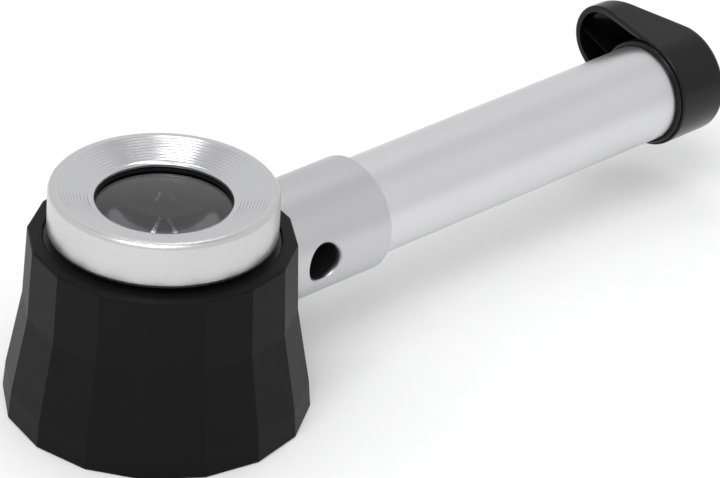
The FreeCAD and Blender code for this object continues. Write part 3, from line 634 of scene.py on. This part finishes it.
CAP_RADIUS, LOBE_RADIUS = 10.4 * MM, 6.95 * MM
LOBE_AT = Vector((11.4 * MM, 5.7 * MM))
LOBE_TURN = math.atan2(LOBE_AT.y, LOBE_AT.x)
BOSS_RADIUS, BOSS_BORE, BOSS_START = 9.9 * MM, 9.1 * MM, cap_low.x
CAP_WALL, CAP_BACK, CAP_CORNER = 1.25 * MM, 1.6 * MM, 1.2 * MM
SLANT_START, SLANT = 4.0 * MM, math.tan(math.radians(25.3))
RIB_TURN, RIB_THICK, RIB_DROP = math.radians(18.5), 0.6 * MM, 0.8 * MM


def back_level(radius, turn, drop=0.0):
    """Where the cap's back lies along the handle: square over the boss, slanted over the lobe."""
    beyond = radius * math.cos(turn - LOBE_TURN) - SLANT_START
    soft = 0.6 * MM
    return CAP_END - drop - SLANT * (beyond + math.sqrt(beyond ** 2 + soft ** 2)) / 2


def hull_reach(turn, inset):
    """Distance from the handle axis to the cap's outline in one direction."""
    large, small = CAP_RADIUS - inset, LOBE_RADIUS - inset
    heading = Vector((math.cos(turn), math.sin(turn)))
    reach = LOBE_AT.length
    lean = math.acos((large - small) / reach)
    best = large
    for side in (-1, 1):
        normal_turn = LOBE_TURN + side * lean
        normal = Vector((math.cos(normal_turn), math.sin(normal_turn)))
        facing = heading.dot(normal)
        if facing > 1e-6:
            hit = heading * (large / facing)
            along = Vector((-normal.y, normal.x)) * -side
            travel = hit.dot(along)
            if 0 <= travel <= math.sqrt(reach ** 2 - (large - small) ** 2):
                best = max(best, large / facing)
    across = heading.dot(LOBE_AT)
    inside = across ** 2 - LOBE_AT.length_squared + small ** 2
    if inside > 0 and across > 0:
        hit = heading * (across + math.sqrt(inside))
        if (hit - LOBE_AT).angle(LOBE_AT) <= lean + 1e-4:
            best = max(best, hit.length)
    return best


def build_cap():
    """Tail cap: soft-cornered shell, hollow lobe open to the front, round boss and thin rib."""
    floor = CAP_END - CAP_BACK
    lip, inner_lip, root = 0.35 * MM, 0.22 * MM, 0.5 * MM
    room, insert, edge = 8.0 * MM, 9.3 * MM, 0.5 * MM
    insert_start, insert_end = 119.4 * MM, 124.6 * MM
    segments = 360
    rings = []
    for number in range(segments):
        turn = TURN * number / segments
        cavity = max(hull_reach(turn, CAP_WALL), BOSS_RADIUS)
        fade = min(1.0, (cavity - BOSS_RADIUS) / (1.2 * MM))
        profile = [(0, floor), (room, floor), (room, insert_end), (insert, insert_end),
                   (insert, insert_start), (BOSS_BORE, insert_start),
                   (BOSS_BORE, BOSS_START + 0.12 * MM), (BOSS_BORE + 0.12 * MM, BOSS_START)]
        for part in range(5):
            bend = math.pi / 2 * part / 4
            profile.append((BOSS_RADIUS - edge * (1 - math.sin(bend)),
                            BOSS_START + edge * (1 - math.cos(bend))))
        if cavity > BOSS_RADIUS + 0.02 * MM:
            near = back_level(BOSS_RADIUS, turn, CAP_BACK)
            far = back_level(cavity, turn, CAP_BACK)
            bend = root * fade
            profile += [(BOSS_RADIUS, near - bend), (BOSS_RADIUS + bend * 0.3, near - bend * 0.3),
                        (BOSS_RADIUS + bend, near), (cavity - bend, far),
                        (cavity - bend * 0.3, far - bend * 0.3), (cavity, far - bend),
                        (cavity, CAP_START + inner_lip),
                        (cavity + inner_lip * 0.3, CAP_START + inner_lip * 0.3),
                        (cavity + inner_lip, CAP_START)]
        else:
            profile += [(BOSS_RADIUS, CAP_START + lip * 0.5)] * 9
        outer = hull_reach(turn, 0.0)
        crown = min(lip, outer - BOSS_RADIUS)
        for part in range(5):
            bend = math.pi / 2 * part / 4
            profile.append((outer - crown * (1 - math.sin(bend)),
                            CAP_START + lip * (1 - math.cos(bend))))
        for part in range(7):
            bend = math.pi / 2 * part / 6
            radius = hull_reach(turn, CAP_CORNER * (1 - math.cos(bend)))
            profile.append((radius, back_level(radius, turn) - CAP_CORNER * (1 - math.sin(bend))))
        last = hull_reach(turn, CAP_CORNER)
        for share in range(9, -1, -1):
            radius = last * share / 10
            profile.append((radius, back_level(radius, turn) if share else CAP_END))
        rings.append([about_handle(radius, along, turn) for radius, along in profile])
    cap = new_piece("end_cap", tidy(loft(rings)), "tail_cap", ["tail_cap"])
    paint(cap, cap_plastic)

    rib = bmesh.new()
    bmesh.ops.create_cube(rib, size=1.0)
    near, far = BOSS_RADIUS - 0.5 * MM, hull_reach(RIB_TURN, CAP_WALL * 0.5)
    front = CAP_START + RIB_DROP
    for vert in rib.verts:
        radius = far if vert.co.y > 0 else near
        back = back_level(radius, RIB_TURN, CAP_BACK * 0.6)
        vert.co = Vector((max(back, front) if vert.co.x > 0 else min(front, back - 0.3 * MM),
                          radius, RIB_THICK * vert.co.z))
    bmesh.ops.bevel(rib, geom=rib.edges[:], offset=0.12 * MM, segments=2, affect="EDGES")
    bmesh.ops.transform(rib, verts=rib.verts, matrix=Matrix.Translation((0, 0, AXIS_Z))
                        @ Matrix.Rotation(RIB_TURN, 4, "X"))
    # the rib is the cap's own plastic, painted darker and duller as shade inside the hollow lobe
    paint(new_piece("cap_rib", rib, "tail_cap"), cap_rib_painted_shade)


# ---------------------------------------------------------------- CAD nodes that stay

NODE_FINISH = {
    "focus_barrel": black_metal, "lens_cell": black_metal, "lens_spacer": black_metal,
    "lens_retainer": black_metal, "barrel_clip": steel, "guide_pin": steel,
    "sleeve_screw": steel, "tube_screw": steel, "carrier_clip": steel, "tail_spring": steel,
    "focus_oring": rubber, "tail_oring": rubber, "led_window": window_clear, "led": led_resin,
    "led_board": board_mask, "driver_board": board_mask, "driver_chip": chip_resin,
    "wire_positive": red_sleeve, "wire_negative": black_sleeve, "front_contact": brass,
    "tail_contact": brass, "cap_insert": brass, "battery_liner": inner_plastic,
    "cell_front": jacket, "cell_rear": jacket,
}


def finish_nodes():
    """Give every CAD node that is still seen its own finish."""
    for node, made in NODE_FINISH.items():
        paint(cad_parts[node], made)


# ---------------------------------------------------------------- stage, light, camera


def build_floor():
    """Plain pale floor that runs far behind the object."""
    size = 6.0
    skin = bmesh.new()
    corners = [skin.verts.new((x * size, y * size, 0))
               for x, y in ((-1, -1), (1, -1), (1, 1), (-1, 1))]
    skin.faces.new(corners)
    mesh = bpy.data.meshes.new("floor")
    skin.to_mesh(mesh)
    skin.free()
    floor = bpy.data.objects.new("floor", mesh)
    bpy.context.scene.collection.objects.link(floor)
    made = speckled("floor_paint", (0.90, 0.90, 0.90), (0.92, 0.92, 0.92), 0.7, 0.8, 60.0, 0)
    floor.data.materials.append(made)


def area_light(name, place, target, width, height, power):
    """A soft rectangular light aimed at a point."""
    lamp = bpy.data.lights.new(name, "AREA")
    lamp.shape = "RECTANGLE"
    lamp.size, lamp.size_y = width, height
    lamp.energy = power
    holder = bpy.data.objects.new(name, lamp)
    holder.location = place
    aim = Vector(target) - Vector(place)
    holder.rotation_euler = aim.to_track_quat("-Z", "Y").to_euler()
    bpy.context.scene.collection.objects.link(holder)


def light_scene():
    """Pale surround, two narrow strips that glint off the ring, and one wide soft light."""
    world = bpy.data.worlds.new("studio")
    bpy.context.scene.world = world
    world.use_nodes = True
    nodes, links = world.node_tree.nodes, world.node_tree.links
    place = nodes.new("ShaderNodeTexCoord")
    split = nodes.new("ShaderNodeSeparateXYZ")
    ramp = nodes.new("ShaderNodeValToRGB")
    links.new(place.outputs["Generated"], split.inputs["Vector"])
    links.new(split.outputs["Z"], ramp.inputs["Fac"])
    links.new(ramp.outputs["Color"], nodes["Background"].inputs["Color"])
    steps = ((0.0, 0.82), (0.28, 0.84), (0.46, 0.88), (0.72, 0.88), (0.84, 0.66), (1.0, 0.60))
    while len(ramp.color_ramp.elements) < len(steps):
        ramp.color_ramp.elements.new(0.5)
    for element, (level, bright) in zip(ramp.color_ramp.elements, steps):
        element.position = level
        element.color = (bright, bright, bright * 1.01, 1)
    area_light("strip_back", (0.25, 0.16, 0.74), (0.0, 0, 0.04), 0.05, 0.26, 0.30)
    area_light("strip_side", (0.11, 0.28, 0.74), (0.0, 0, 0.04), 0.05, 0.24, 0.12)
    area_light("fill", (-0.5, -0.3, 1.0), (0.03, 0, 0.02), 0.7, 0.7, 6.2)


def place_camera():
    """Long lens, looking down the diagonal; the picture leans a few degrees."""
    place = Vector((-408.7, -456.7, 387.5)) * MM
    target = Vector((36.8, 0.0, 18.4)) * MM
    lens, sensor = 211.09, 36.0
    lean, swing = 0.0612, 0.0095
    forward = (target - place).normalized()
    right = forward.cross(Vector((0, 0, 1))).normalized()
    up = right.cross(forward)
    turn = Matrix((right, up, forward))
    spin = Matrix.Rotation(math.hypot(lean, swing), 3, Vector((0, -swing, -lean)))
    right, up, forward = (spin @ turn).row
    camera = bpy.data.objects.new("camera", bpy.data.cameras.new("camera"))
    camera.data.lens, camera.data.sensor_width = lens, sensor
    camera.data.clip_start, camera.data.clip_end = 0.01, 20.0
    rotation = Matrix((right, up, -forward)).transposed().to_4x4()
    camera.matrix_world = Matrix.Translation(place) @ rotation
    bpy.context.scene.collection.objects.link(camera)
    bpy.context.scene.camera = camera


build_skirt()
build_spigot()
build_focus_ring()
build_lenses()
build_sleeve()
build_tube()
build_cap()
finish_nodes()
build_floor()
light_scene()
place_camera()
bpy.context.scene.view_settings.view_transform = "Standard"
